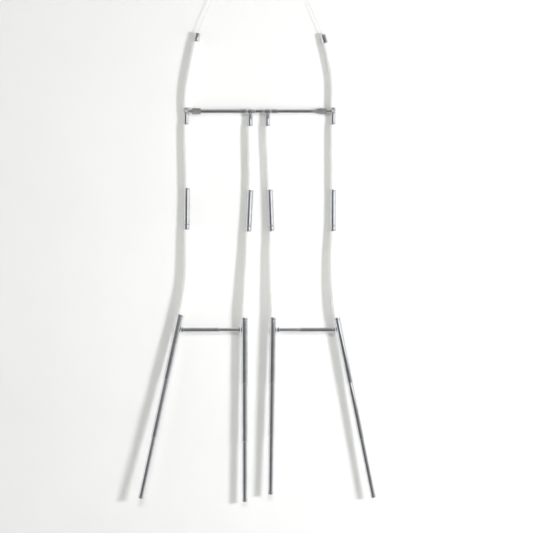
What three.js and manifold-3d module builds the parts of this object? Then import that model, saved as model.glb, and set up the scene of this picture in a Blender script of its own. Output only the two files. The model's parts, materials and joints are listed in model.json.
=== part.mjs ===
// A hanging valet that draws the outline of a pair of braced trousers: a crossbar for the waist,
// two hoses for the braces, and four strands that hang from the bar, two to each trouser leg.
// A strand is a hose, a telescopic sleeve, a second hose and a telescopic shin of three sections.
// A telescopic rung joins the two shins of each pair, and two taut threads hold the whole thing up.
//
// Millimetres. +X is to the right, +Y goes back to the wall and +Z is up. The origin lies midway
// between the two thread loops, on the line of the hooks that carry them.
import * as THREE from "three";
import { mergeVertices } from "three/addons/utils/BufferGeometryUtils.js";
import Module from "manifold-3d";

const wasm = await Module();
wasm.setup();

// ---- Driving dimensions ----------------------------------------------------------------------
const GAP = 0.3; // between faces that meet
const SIDES = 12; // of every turned piece, so that nested tubes stay in step
const BORE_SIDES = 8;

const BAR_DROP = 297; // from the hooks down to the crossbar's axis
const HOOK_X = 113.5;

const HOSE_R = 9;
const HOSE_BORE_R = 6.2;
const SPIGOT_R = 5.4; // the end of a fitting that a hose is pushed over
const SPIGOT = 14;
const HOSE_LEAD = 17; // the straight end of a hose, over its spigot
const FITTING_TOP = 8.5; // of an end fitting, above the crossbar's axis

const CORE_R = 3.6; // the rod through the whole crossbar
const CORE_HALF = 178;
const CORE_BORE_R = 4;

const SLEEVE = 91;
const SLEEVE_R = 7.9;
const SLEEVE_BORE_R = 6.95;
const SLEEVE_OVERLAP = 70;
const SLEEVE_TIP = 12.5;
const SLEEVE_TUBE_R = 6.55;
const SLEEVE_TUBE_BORE_R = 5.9;

const UPPER = 166.5; // shin sections: what shows of each when it is drawn right out
const MIDDLE = 147;
const LOWER = 154;
const OVERLAP = 30;
const UPPER_R = 8.5;
const UPPER_BORE_R = 7.95;
const MIDDLE_R = 7.6;
const MIDDLE_BORE_R = 7.05;
const LOWER_R = 6.7;
const LOWER_BORE_R = 6.1;
const COLLAR = 6;
const END_WALL = 8;
const BEAD = 2; // the rolled ring at a section's mouth
const BEAD_STEP = 0.4;
const FOOT = 7.5;
const FOOT_R = 7.3;
const FOOT_PLUG = 10;
const FOOT_PLUG_R = 5.7;

const RUNG_DROP = 547; // below the crossbar's axis
const RUNG_TUBE_R = 5.8;
const RUNG_BORE_R = 5.1;
const RUNG_ROD_R = 4.6;
const RUNG_MOUTH_X = 101;
const RUNG_INSERT = 60;
const RUNG_COLLAR = 5;
const RUNG_COLLAR_R = 6.9;
const RUNG_NECK_R = 3.2;

const CAP_R = 7.6;
const THREAD_R = 0.75;
const THREAD_HOLE_R = 1.4;
const THREAD_HOLE = 6;
const LOOP_R = 6; // to the middle of the thread
const KNOT_R = 2.3;
const KNOT_HALF = 3;
const KNOT_DROP = 1; // from the loop's lowest point to the knot's middle

// The four strands, from the crossbar's centre. slack is how far the middle and the lower section
// are from being drawn right out. bend is the lower hose's route between its two straight ends.
const STRANDS = [
  {
    name: "left_outer",
    stem: [-183.5, 0, -33.5],
    sleeve: [[-180.9, -1, -193], [-181.8, -2.5, -297]],
    bend: [[-181.5, -3.6, -355], [-182, -5.4, -408], [-186.3, -7.2, -450]],
    shin: [[-197.5, -9.5, -509.5], [-293.9, -34, -961.5]],
    slack: [0, 0],
  },
  {
    name: "left_inner",
    stem: [-23.3, 0, -37.5],
    sleeve: [[-22.5, -1, -198], [-27.3, -2.5, -302]],
    bend: [[-29.3, -3.6, -358], [-33, -5.4, -415], [-35.2, -7.2, -462]],
    shin: [[-37.2, -9.5, -517], [-36.4, -18, -973]],
    slack: [3, 5],
  },
  {
    name: "right_inner",
    stem: [20.5, 0, -37.5],
    sleeve: [[27, -1, -197], [30.6, -2.5, -301]],
    bend: [[29.6, -3.7, -358], [30.7, -5.8, -415], [32.4, -8.3, -462]],
    shin: [[34.2, -10.5, -516.5], [28.1, -22, -954.5]],
    slack: [19, 7],
  },
  {
    name: "right_outer",
    stem: [185, 0, -33.5],
    sleeve: [[185.4, -1, -197], [184.9, -2.5, -301]],
    bend: [[182.4, -3.7, -358], [183, -5.8, -415], [186.6, -8.3, -460]],
    shin: [[194.3, -10.5, -517], [284, -24, -962]],
    slack: [3, 7],
  },
];

// The braces: each hose's route between its two straight ends, and the cap's foot and top.
const BRACES = [
  {
    name: "left",
    route: [[-182.2, -0.5, 48], [-179.2, -1, 71], [-174.6, -1, 97], [-169.3, -1, 122]],
    cap: [[-158.4, -1, 174], [-154.3, -1, 196]],
  },
  {
    name: "right",
    route: [[185.5, -0.5, 48], [185.6, -1, 70], [182.9, -1, 94], [178.3, -1, 119]],
    cap: [[165.8, -1, 170.5], [159.4, -1, 192]],
  },
];

// ---- Materials -------------------------------------------------------------------------------
const chrome = () => new THREE.MeshStandardMaterial({ color: 0xc4c7ca, roughness: 0.1, metalness: 1 });
const brightRing = () => new THREE.MeshStandardMaterial({ color: 0xe9eaec, roughness: 0.2, metalness: 1 });
const whiteHose = () => new THREE.MeshStandardMaterial({ color: 0xf3f3f0, roughness: 0.45, metalness: 0 });
const whiteThread = () => new THREE.MeshStandardMaterial({ color: 0xf6f6f4, roughness: 0.6, metalness: 0 });

// ---- Shapes ----------------------------------------------------------------------------------
const UP = new THREE.Vector3(0, 0, 1);
const point = (p) => new THREE.Vector3(...p);

// A turned piece on the Z axis, from its outline [radius, height] read upwards on the outside.
function turned(outline) {
  const profile = outline.map(([r, z]) => new THREE.Vector2(r, z));
  return new THREE.LatheGeometry(profile, SIDES).rotateX(Math.PI / 2);
}

function rod(radius, low, high) {
  return turned([[0, low], [radius, low], [radius, high], [0, high]]);
}

function ring(radius, bore, low, high) {
  return turned([[bore, low], [radius, low], [radius, high], [bore, high], [bore, low]]);
}

function alongX(geometry) {
  return geometry.rotateY(Math.PI / 2);
}

// Closed geometry as a manifold-3d solid, and back.
function solid(geometry) {
  const bare = geometry.index ? geometry.toNonIndexed() : geometry.clone();
  bare.deleteAttribute("normal");
  bare.deleteAttribute("uv");
  const merged = mergeVertices(bare, 1e-3);
  return new wasm.Manifold(
    new wasm.Mesh({
      numProp: 3,
      vertProperties: merged.attributes.position.array,
      triVerts: new Uint32Array(merged.index.array),
    }),
  );
}

function geometryOf(manifold) {
  const { vertProperties, triVerts } = manifold.getMesh();
  const geometry = new THREE.BufferGeometry();
  geometry.setAttribute("position", new THREE.BufferAttribute(vertProperties, 3));
  geometry.setIndex(new THREE.BufferAttribute(triVerts, 1));
  geometry.computeVertexNormals();
  return geometry;
}

function circle(Path, radius, sides) {
  const points = [];
  for (let i = 0; i < sides; i += 1) {
    const turn = (2 * Math.PI * i) / sides;
    points.push(new THREE.Vector2(radius * Math.cos(turn), radius * Math.sin(turn)));
  }
  return new Path(points);
}

// A hose or a thread along a smooth curve through the route's points.
function alongRoute(route, section, steps) {
  const extrudePath = new THREE.CatmullRomCurve3(route, false, "centripetal");
  return new THREE.ExtrudeGeometry(section, { steps, extrudePath, bevelEnabled: false });
}

function hose(route, steps) {
  const section = circle(THREE.Shape, HOSE_R, SIDES);
  section.holes.push(circle(THREE.Path, HOSE_BORE_R, BORE_SIDES));
  return alongRoute(route, section, steps);
}

// ---- Building the scene graph ----------------------------------------------------------------
const valet = new THREE.Group();
const atBar = new THREE.Group(); // everything is placed from the crossbar's centre
atBar.position.z = -BAR_DROP;
valet.add(atBar);

function addPiece(parent, name, geometry, material) {
  const mesh = new THREE.Mesh(geometry, material);
  mesh.name = name;
  parent.add(mesh);
  return mesh;
}

// A group with its origin at one point and its +Z turned towards another.
function axisGroup(from, towards) {
  const group = new THREE.Group();
  group.position.copy(from);
  group.quaternion.setFromUnitVectors(UP, towards.clone().sub(from).normalize());
  atBar.add(group);
  return group;
}

// ---- The crossbar ----------------------------------------------------------------------------
function addBar() {
  const onCore = (name, radius, low, high, material) =>
    addPiece(atBar, name, alongX(ring(radius, CORE_BORE_R, low, high)), material);
  addPiece(atBar, "bar_core_rod", alongX(rod(CORE_R, -CORE_HALF, CORE_HALF)), chrome());
  onCore("bar_collar_left_outer", 7.7, -168, -147.3, chrome());
  onCore("bar_tube_left", 6, -147, -48.3, chrome());
  onCore("bar_collar_left_inner", 6.9, -48, -33.3, chrome());
  onCore("bar_tube_centre", 5.4, -9.4, 8.4, chrome());
  onCore("bar_collar_right_inner", 6.4, 31.6, 46.7, chrome());
  onCore("bar_tube_right", 5.4, 47, 141.7, chrome());
  addPiece(atBar, "bar_collar_right_outer", alongX(steppedCollar(142, 150, 168)), chrome());
  // A bright washer at each side of the two tees.
  [[-33, -30.6], [-16, -9.7], [8.7, 13.2], [27.8, 31.3]].forEach(([low, high], i) => {
    onCore(`tee_washer_${i + 1}`, 6.6, low, high, brightRing());
  });
}

function steppedCollar(low, step, high) {
  const NECK_R = 6;
  const HEAD_R = 7.6;
  return turned([[CORE_BORE_R, low], [NECK_R, low], [NECK_R, step], [HEAD_R, step],
    [HEAD_R, high], [CORE_BORE_R, high], [CORE_BORE_R, low]]);
}

// An inner strand hangs from a tee threaded on the core rod.
function tee(stem) {
  const HALF_WIDTH = 6.8;
  const BODY_R = 6.2;
  const STEM_R = 6.8;
  const STEM_TOP = -1;
  const [x, , bottom] = stem;
  const body = solid(alongX(rod(BODY_R, x - HALF_WIDTH, x + HALF_WIDTH)));
  const leg = solid(
    turned([[0, bottom - SPIGOT], [SPIGOT_R, bottom - SPIGOT], [SPIGOT_R, bottom],
      [STEM_R, bottom], [STEM_R, STEM_TOP], [0, STEM_TOP]]).translate(x, 0, 0),
  );
  const bore = solid(alongX(rod(CORE_BORE_R, x - 2 * HALF_WIDTH, x + 2 * HALF_WIDTH)));
  return geometryOf(body.add(leg).subtract(bore));
}

// An outer strand and a brace share the upright fitting at the end of the core rod.
function endFitting(stem) {
  const TUBE_R = 6.9;
  const NECK_R = 5.8;
  const NECK_END = 168.4;
  const EYE_R = 6.2;
  const EYE_HALF = 8.3;
  const [x, , bottom] = stem;
  const side = Math.sign(x);
  const upright = solid(
    turned([[0, bottom - SPIGOT], [SPIGOT_R, bottom - SPIGOT], [SPIGOT_R, bottom], [TUBE_R, bottom],
      [TUBE_R, FITTING_TOP], [SPIGOT_R, FITTING_TOP], [SPIGOT_R, FITTING_TOP + SPIGOT],
      [0, FITTING_TOP + SPIGOT]])
      .translate(x, 0, 0),
  );
  const [nearX, farX] = [side * NECK_END, x].sort((a, b) => a - b);
  const neck = solid(alongX(rod(NECK_R, nearX, farX)));
  const eye = solid(rod(EYE_R, -EYE_HALF, EYE_HALF).rotateX(Math.PI / 2).translate(x, 0, 0));
  const bore = solid(
    alongX(rod(CORE_BORE_R, -CORE_HALF - 0.5, CORE_HALF + 0.5)),
  );
  return geometryOf(upright.add(neck).add(eye).subtract(bore));
}

// ---- A strand --------------------------------------------------------------------------------
function upperHose(stem, sleeveTop, sleeveFoot) {
  const start = stem.clone().addScaledVector(UP, -GAP);
  const lead = start.clone().addScaledVector(UP, -HOSE_LEAD);
  const down = sleeveFoot.clone().sub(sleeveTop).normalize();
  const end = sleeveTop.clone().addScaledVector(down, -GAP);
  const tail = end.clone().addScaledVector(down, -HOSE_LEAD);
  return hose([start, lead, tail, end], 4);
}

function lowerHose(sleeveTop, sleeveFoot, bend, shinTop, shinFoot) {
  const sleeveDown = sleeveFoot.clone().sub(sleeveTop).normalize();
  const shinDown = shinFoot.clone().sub(shinTop).normalize();
  const start = sleeveTop.clone().addScaledVector(sleeveDown, SLEEVE + SLEEVE_TIP + GAP);
  const lead = start.clone().addScaledVector(sleeveDown, HOSE_LEAD);
  const end = shinTop.clone().addScaledVector(shinDown, -GAP);
  const tail = end.clone().addScaledVector(shinDown, -HOSE_LEAD);
  return hose([start, lead, ...bend.map(point), tail, end], 9);
}

function sleeveOuter() {
  return turned([
    [0, -SPIGOT], [SPIGOT_R, -SPIGOT], [SPIGOT_R, 0], [SLEEVE_R, 0],
    [SLEEVE_R, SLEEVE - BEAD], [SLEEVE_R + BEAD_STEP, SLEEVE - BEAD], [SLEEVE_R + BEAD_STEP, SLEEVE],
    [SLEEVE_BORE_R, SLEEVE], [SLEEVE_BORE_R, COLLAR], [0, COLLAR],
  ]);
}

function sleeveInner() {
  const top = SLEEVE - SLEEVE_OVERLAP;
  const shoulder = SLEEVE + GAP;
  const tip = SLEEVE + SLEEVE_TIP;
  return turned([
    [0, SLEEVE - COLLAR], [SLEEVE_TUBE_BORE_R, SLEEVE - COLLAR], [SLEEVE_TUBE_BORE_R, top],
    [SLEEVE_TUBE_R, top], [SLEEVE_TUBE_R, shoulder], [SLEEVE_R, shoulder], [SLEEVE_R, tip],
    [SPIGOT_R, tip], [SPIGOT_R, tip + SPIGOT], [0, tip + SPIGOT],
  ]);
}

function shinUpper() {
  return turned([
    [0, -SPIGOT], [SPIGOT_R, -SPIGOT], [SPIGOT_R, 0], [UPPER_R + BEAD_STEP, 0],
    [UPPER_R + BEAD_STEP, COLLAR], [UPPER_R, COLLAR + BEAD_STEP], [UPPER_R, UPPER - BEAD],
    [UPPER_R + BEAD_STEP, UPPER - BEAD], [UPPER_R + BEAD_STEP, UPPER], [UPPER_BORE_R, UPPER],
    [UPPER_BORE_R, END_WALL], [0, END_WALL],
  ]);
}

function shinMiddle(slack) {
  const top = UPPER - OVERLAP - slack;
  const mouth = UPPER + MIDDLE - slack;
  return turned([
    [MIDDLE_BORE_R, top], [MIDDLE_R, top], [MIDDLE_R, mouth - BEAD],
    [MIDDLE_R + BEAD_STEP, mouth - BEAD], [MIDDLE_R + BEAD_STEP, mouth], [MIDDLE_BORE_R, mouth],
    [MIDDLE_BORE_R, top],
  ]);
}

function shinLower(slack) {
  const mouth = UPPER + MIDDLE - slack[0];
  const top = mouth - OVERLAP - slack[1];
  const end = mouth + LOWER - slack[1] - FOOT - GAP;
  return ring(LOWER_R, LOWER_BORE_R, top, end);
}

function footCap(slack) {
  const ROUNDING = 1.5;
  const low = UPPER + MIDDLE + LOWER - slack[0] - slack[1];
  const shoulder = low - FOOT;
  const plugTop = shoulder - FOOT_PLUG;
  return turned([
    [0, plugTop], [FOOT_PLUG_R, plugTop], [FOOT_PLUG_R, shoulder], [FOOT_R, shoulder],
    [FOOT_R, low - ROUNDING], [FOOT_R - ROUNDING, low], [0, low],
  ]);
}

function addStrand({ name, stem, sleeve, bend, shin, slack }) {
  const [sleeveTop, sleeveFoot] = sleeve.map(point);
  const [shinTop, shinFoot] = shin.map(point);
  const outer = name.endsWith("outer");
  if (outer) addPiece(atBar, `${name}_end_fitting`, endFitting(stem), chrome());
  else addPiece(atBar, `${name}_tee`, tee(stem), chrome());
  addPiece(atBar, `${name}_thigh_hose`, upperHose(point(stem), sleeveTop, sleeveFoot), whiteHose());

  const thigh = axisGroup(sleeveTop, sleeveFoot);
  addPiece(thigh, `${name}_sleeve_outer`, sleeveOuter(), chrome());
  addPiece(thigh, `${name}_sleeve_inner`, sleeveInner(), chrome());

  const knee = lowerHose(sleeveTop, sleeveFoot, bend, shinTop, shinFoot);
  addPiece(atBar, `${name}_knee_hose`, knee, whiteHose());

  const leg = axisGroup(shinTop, shinFoot);
  addPiece(leg, `${name}_shin_upper`, shinUpper(), chrome());
  addPiece(leg, `${name}_shin_middle`, shinMiddle(slack[0]), chrome());
  addPiece(leg, `${name}_shin_lower`, shinLower(slack), chrome());
  addPiece(leg, `${name}_foot_cap`, footCap(slack), chrome());
}

// ---- The rungs -------------------------------------------------------------------------------
// Where a shin's axis crosses the height of the rungs.
function rungEnd(shin) {
  const [top, foot] = shin.map(point);
  const share = (-RUNG_DROP - top.z) / (foot.z - top.z);
  return top.lerp(foot, share);
}

function addRung(side, outerShin, innerShin) {
  const NECK_FROM_AXIS = 9.6; // clears the sloping shin
  const COLLAR_FROM_AXIS = 11.2;
  const outer = rungEnd(outerShin);
  const inner = rungEnd(innerShin);
  const y = (outer.y + inner.y) / 2;
  // Distances from the middle of the object outwards, turned round for the left rung.
  const outerNeck = Math.abs(outer.x) - NECK_FROM_AXIS;
  const outerCollar = Math.abs(outer.x) - COLLAR_FROM_AXIS;
  const innerNeck = Math.abs(inner.x) + NECK_FROM_AXIS;
  const innerCollar = Math.abs(inner.x) + COLLAR_FROM_AXIS;
  const deepest = outerCollar - RUNG_COLLAR;
  const tube = turned([
    [0, deepest], [RUNG_BORE_R, deepest], [RUNG_BORE_R, RUNG_MOUTH_X],
    [RUNG_TUBE_R + BEAD_STEP, RUNG_MOUTH_X], [RUNG_TUBE_R + BEAD_STEP, RUNG_MOUTH_X + BEAD],
    [RUNG_TUBE_R, RUNG_MOUTH_X + BEAD], [RUNG_TUBE_R, outerCollar - RUNG_COLLAR],
    [RUNG_COLLAR_R, outerCollar - RUNG_COLLAR], [RUNG_COLLAR_R, outerCollar],
    [RUNG_NECK_R, outerCollar], [RUNG_NECK_R, outerNeck], [0, outerNeck],
  ]);
  const slider = turned([
    [0, innerNeck], [RUNG_NECK_R, innerNeck], [RUNG_NECK_R, innerCollar],
    [RUNG_COLLAR_R, innerCollar], [RUNG_COLLAR_R, innerCollar + RUNG_COLLAR],
    [RUNG_ROD_R, innerCollar + RUNG_COLLAR], [RUNG_ROD_R, RUNG_MOUTH_X + RUNG_INSERT],
    [0, RUNG_MOUTH_X + RUNG_INSERT],
  ]);
  const turn = side === "left" ? -Math.PI / 2 : Math.PI / 2;
  [["rung_tube", tube], ["rung_rod", slider]].forEach(([part, geometry]) => {
    geometry.rotateY(turn).translate(0, y, -RUNG_DROP);
    addPiece(atBar, `${side}_${part}`, geometry, chrome());
  });
}

// ---- The braces and the threads --------------------------------------------------------------
function braceCap(length) {
  const ROUNDING = 0.8;
  return turned([
    [0, -SPIGOT], [SPIGOT_R, -SPIGOT], [SPIGOT_R, 0], [CAP_R, 0], [CAP_R, length - ROUNDING],
    [CAP_R - ROUNDING, length], [THREAD_HOLE_R, length], [THREAD_HOLE_R, length - THREAD_HOLE],
    [0, length - THREAD_HOLE],
  ]);
}

// The tied loop: a ring of thread that leans along the thread, above a small knot.
function threadLoop(hook, along) {
  const ringTurn = new THREE.Quaternion().setFromUnitVectors(UP, along);
  const loop = new THREE.TorusGeometry(LOOP_R, THREAD_R, 6, 16).rotateX(Math.PI / 2);
  const knot = new THREE.SphereGeometry(KNOT_R, 8, 6)
    .rotateX(Math.PI / 2)
    .scale(1, 1, KNOT_HALF / KNOT_R)
    .translate(0, 0, -LOOP_R - KNOT_DROP);
  const centre = hook.clone().addScaledVector(along, THREAD_R - LOOP_R);
  const tied = geometryOf(solid(loop).add(solid(knot)));
  return tied.applyQuaternion(ringTurn).translate(centre.x, centre.y, centre.z);
}

function addBrace({ name, route, cap }) {
  const side = name === "left" ? -1 : 1;
  const [capFoot, capTop] = cap.map(point);
  const capAlong = capTop.clone().sub(capFoot).normalize();
  const fittingX = STRANDS.find((s) => s.name === `${name}_outer`).stem[0];
  const start = new THREE.Vector3(fittingX, 0, FITTING_TOP + GAP);
  const lead = start.clone().addScaledVector(UP, HOSE_LEAD);
  const end = capFoot.clone().addScaledVector(capAlong, -GAP);
  const tail = end.clone().addScaledVector(capAlong, -HOSE_LEAD);
  const brace = hose([start, lead, ...route.map(point), tail, end], 9);
  addPiece(atBar, `${name}_brace_hose`, brace, whiteHose());

  const capGroup = axisGroup(capFoot, capTop);
  addPiece(capGroup, `${name}_brace_cap`, braceCap(capTop.distanceTo(capFoot)), chrome());

  const hook = new THREE.Vector3(side * HOOK_X, 0, BAR_DROP);
  const along = hook.clone().sub(capTop).normalize();
  const knotFoot = hook.clone().addScaledVector(along, THREAD_R - 2 * LOOP_R - KNOT_DROP - KNOT_HALF);
  const threadRoute = [
    capTop.clone().addScaledVector(capAlong, 0.5 - THREAD_HOLE),
    capTop.clone().addScaledVector(capAlong, 1),
    capTop.clone().lerp(knotFoot, 0.5),
    knotFoot.clone().addScaledVector(along, -GAP),
  ];
  const thread = alongRoute(threadRoute, circle(THREE.Shape, THREAD_R, BORE_SIDES), 12);
  addPiece(atBar, `${name}_thread`, thread, whiteThread());
  addPiece(atBar, `${name}_thread_loop`, threadLoop(hook, along), whiteThread());
}

addBar();
STRANDS.forEach(addStrand);
const shinOf = (name) => STRANDS.find((strand) => strand.name === name).shin;
addRung("left", shinOf("left_outer"), shinOf("left_inner"));
addRung("right", shinOf("right_outer"), shinOf("right_inner"));
BRACES.forEach(addBrace);

export default valet;
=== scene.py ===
import json
import math

import bmesh
import bpy
import numpy as np
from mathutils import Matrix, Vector


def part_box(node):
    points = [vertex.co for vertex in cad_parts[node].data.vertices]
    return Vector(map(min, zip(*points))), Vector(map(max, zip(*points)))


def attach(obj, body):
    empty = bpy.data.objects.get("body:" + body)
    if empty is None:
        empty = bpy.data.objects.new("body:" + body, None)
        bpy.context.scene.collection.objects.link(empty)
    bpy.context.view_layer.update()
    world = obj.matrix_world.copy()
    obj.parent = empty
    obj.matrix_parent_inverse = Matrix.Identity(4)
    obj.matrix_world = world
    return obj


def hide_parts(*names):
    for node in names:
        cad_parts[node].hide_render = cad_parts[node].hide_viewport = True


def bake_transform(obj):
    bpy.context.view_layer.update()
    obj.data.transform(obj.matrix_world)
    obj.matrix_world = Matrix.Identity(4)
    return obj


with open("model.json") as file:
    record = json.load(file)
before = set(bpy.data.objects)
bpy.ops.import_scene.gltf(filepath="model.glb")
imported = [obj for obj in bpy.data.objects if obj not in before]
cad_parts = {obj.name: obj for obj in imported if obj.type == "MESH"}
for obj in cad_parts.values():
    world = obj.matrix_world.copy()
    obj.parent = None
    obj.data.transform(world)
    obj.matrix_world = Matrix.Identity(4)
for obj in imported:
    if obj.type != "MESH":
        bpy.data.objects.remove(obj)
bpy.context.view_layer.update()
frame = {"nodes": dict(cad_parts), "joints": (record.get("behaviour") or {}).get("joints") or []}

# ---- Dimensions, in millimetres unless a name says otherwise ---------------------------------
MM = 0.001
X = Vector((1, 0, 0))
Y = Vector((0, 1, 0))
Z = Vector((0, 0, 1))

SIDES = 56  # round a turned piece
EDGE = 0.45  # how far an ordinary turned edge is broken
GAP = 0.3  # between faces that meet
SPIGOT = 14
SPIGOT_R = 5.4
BEAD = 2  # a rolled ring at a tube's mouth
BEAD_STEP = 0.4
COLLAR = 6
CORE_BORE_R = 4

HOSE_R = 9
HOSE_BORE_R = 6.2
HOSE_LEAD = 17
HOSE_SWELL = 0.25  # where a hose is stretched over a spigot
HOSE_SIDES = 40
HOSE_STEP = 2.5
HOSE_EDGE = 0.9

CORE_R = 3.6
FITTING_R = 6.9  # the upright tube of an end fitting
EYE_HALF = 8.3
EYE_R = 6.2
NECK_R = 5.8
TEE_R = 6.8
BARREL_R = 6.2
BARREL_LIP_R = 5.4
CAP_R = 7.6

THREAD_R = 0.75
THREAD_HOLE = 6
THREAD_HOLE_R = 1.4
LOOP_R = 6
KNOT_DROP = 1
KNOT_HALF = 3
KNOT_R = 1.45  # to the middle of the winding thread
KNOT_TURNS = 4
KNOT_STEPS = 16  # points in one turn of the winding
LOOP_STEPS = 72
TAIL_R = THREAD_R * 0.8
PLY_R = 0.42  # one of the two plies that make the thread
PLY_TWIST = 3.2  # length of one turn of the plies

# ---- Places, in metres, from the frame --------------------------------------------------------
JOINTS = {joint["name"]: joint for joint in frame["joints"]}
SIDE_NAMES = ("left", "right")
STRANDS = [f"{side}_{place}" for side in SIDE_NAMES for place in ("outer", "inner")]
CORE_LOW, CORE_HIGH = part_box("bar_core_rod")
BAR = (CORE_LOW + CORE_HIGH) / 2


def joint_axis(name):
    return Vector(JOINTS[name]["axis"]).normalized()


def axis_ends(node, direction):
    """Both ends of a turned node's axis. direction points from the first end to the second."""
    points = np.array([v.co for v in frame["nodes"][node].data.vertices], float)
    along = Vector(direction).normalized()
    across = along.orthogonal().normalized()
    third = along.cross(across)
    middle = Vector()
    for line in (across, third):
        spread = points @ np.array(line)
        middle += line * (spread.min() + spread.max()) / 2
    heights = points @ np.array(along)
    return middle + along * heights.min(), middle + along * heights.max()


# ---- The camera ------------------------------------------------------------------------------
SENSOR = 36
VIEW_WIDTH = 1.3325  # what the picture takes in at the object, in metres
VIEW_CENTRE = BAR + Vector((0.018, -0.010, -0.389))
CAMERA_DISTANCE = 4.0


def add_camera():
    data = bpy.data.cameras.new("camera")
    data.sensor_width = SENSOR
    data.lens = SENSOR * CAMERA_DISTANCE / VIEW_WIDTH
    data.clip_start = 0.05
    data.clip_end = 60
    camera = bpy.data.objects.new("camera", data)
    camera.location = VIEW_CENTRE - Y * CAMERA_DISTANCE
    camera.rotation_euler = (math.radians(90), 0, 0)
    bpy.context.scene.collection.objects.link(camera)
    bpy.context.scene.camera = camera


add_camera()


# ---- Surfaces --------------------------------------------------------------------------------
def skin(name, rings, sides, wrap=False, relief=None, bands=()):
    """A closed surface through rings, each (centre, across, up, radius, length) in metres.

    A radius of 0 closes an end, and wrap joins the last ring to the first. relief adds to the
    radius, from (turn, length). Faces whose lengths lie in one of bands take material 1.
    """
    mesh = bmesh.new()
    uv_layer = mesh.loops.layers.uv.new("UVMap")
    rows = []
    for centre, across, up, radius, length in rings:
        if radius == 0:
            rows.append([mesh.verts.new(centre)])
            continue
        row = []
        for i in range(sides):
            turn = 2 * math.pi * i / sides
            reach = radius + (relief(turn, length) if relief else 0)
            outwards = across * math.cos(turn) + up * math.sin(turn)
            row.append(mesh.verts.new(centre + outwards * reach))
        rows.append(row)
    girth = 2 * math.pi * max(ring[3] for ring in rings)
    lengths = [ring[4] for ring in rings]
    pairs = [(j, j + 1) for j in range(len(rows) - 1)]
    if wrap:
        pairs.append((len(rows) - 1, 0))
    for low, high in pairs:
        for i in range(sides):
            corners = []
            for row, step in ((low, 0), (low, 1), (high, 1), (high, 0)):
                pole = len(rows[row]) == 1
                if pole and step == (1 if row == low else 0):
                    continue
                vertex = rows[row][0 if pole else (i + step) % sides]
                corners.append((vertex, i + (0.5 if pole else step), lengths[row]))
            face = mesh.faces.new([corner[0] for corner in corners])
            face.smooth = True
            middle = (lengths[low] + lengths[high]) / 2
            # faces in a band take material 1, which for chrome is the ring chrome with its painted
            # highlight
            if any(start <= middle <= end for start, end in bands):
                face.material_index = 1
            for loop, (_, around, length) in zip(face.loops, corners):
                loop[uv_layer].uv = (around / sides * girth, length)
    bmesh.ops.recalc_face_normals(mesh, faces=mesh.faces)
    return as_object(name, mesh)


def as_object(name, mesh):
    data = bpy.data.meshes.new(name)
    mesh.to_mesh(data)
    mesh.free()
    data.set_sharp_from_angle(angle=math.radians(40))
    obj = bpy.data.objects.new(name, data)
    bpy.context.scene.collection.objects.link(obj)
    return obj


def rounded(outline, edge, closed):
    """The outline with each corner off the axis turned by a small curve."""
    points = [Vector(p) for p in outline]
    result = []
    for i, corner in enumerate(points):
        if not closed and i in (0, len(points) - 1) or corner.x == 0:
            result.append(corner)
            continue
        before = points[i - 1] - corner
        after = points[(i + 1) % len(points)] - corner
        if before.angle(after) > math.radians(165):
            result.append(corner)
            continue
        reach = min(edge, 0.4 * before.length, 0.4 * after.length)
        start = corner + before.normalized() * reach
        end = corner + after.normalized() * reach
        for t in (0, 0.25, 0.5, 0.75, 1):
            result.append(start * (1 - t) ** 2 + corner * 2 * t * (1 - t) + end * t * t)
    return result


def turned(name, outline, top, direction, edge=EDGE, sides=SIDES, relief=None, bands=()):
    """A piece turned on a lathe. The outline holds (radius, distance from top) in millimetres.

    It starts and ends on the axis, or, if it starts off the axis, it closes on itself. bands are
    stretches of that distance that take the second material.
    """
    direction = Vector(direction).normalized()
    across = direction.orthogonal().normalized()
    up = direction.cross(across)
    closed = outline[0][0] > 0
    profile = rounded(outline, edge, closed)
    rings = []
    for point in profile:
        centre = Vector(top) + direction * point.y * MM
        rings.append((centre, across, up, point.x * MM, point.y * MM))
    in_metres = [(start * MM, end * MM) for start, end in bands]
    return skin(name, rings, sides, closed, relief, in_metres)


def smoothstep(x):
    x = min(max(x, 0), 1)
    return x * x * (3 - 2 * x)


# ---- Routes ----------------------------------------------------------------------------------
def smooth_curve(points, steps=24):
    """Points on the centripetal Catmull-Rom curve through the given ones."""
    padded = [2 * points[0] - points[1], *points, 2 * points[-1] - points[-2]]
    curve = []
    for a, b, c, d in zip(padded, padded[1:], padded[2:], padded[3:]):
        gap_ab, gap_bc, gap_cd = ((q - p).length ** 0.5 for p, q in ((a, b), (b, c), (c, d)))
        leave = ((b - a) / gap_ab - (c - a) / (gap_ab + gap_bc)) * gap_bc + (c - b)
        arrive = (c - b) + ((d - c) / gap_cd - (d - b) / (gap_bc + gap_cd)) * gap_bc
        for k in range(steps):
            t = k / steps
            curve.append(
                b * (2 * t ** 3 - 3 * t ** 2 + 1)
                + leave * (t ** 3 - 2 * t ** 2 + t)
                + c * (3 * t ** 2 - 2 * t ** 3)
                + arrive * (t ** 3 - t ** 2)
            )
    curve.append(points[-1])
    return curve


def curve_length(points):
    return sum((q - p).length for p, q in zip(points, points[1:]))


def frames_along(points, distances):
    """(centre, across, up) at each distance along the points, without twist."""
    runs = np.cumsum([0] + [(q - p).length for p, q in zip(points, points[1:])])
    table = np.array(points)

    def at(distance):
        return Vector([float(np.interp(distance, runs, table[:, k])) for k in range(3)])

    total = runs[-1]
    near = 0.0008
    across = None
    result = []
    for distance in distances:
        ahead = at(min(distance + near, total)) - at(max(distance - near, 0))
        tangent = ahead.normalized()
        if across is None:
            across = tangent.orthogonal()
        across = (across - tangent * across.dot(tangent)).normalized()
        result.append((at(distance), across.copy(), tangent.cross(across)))
    return result


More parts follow.
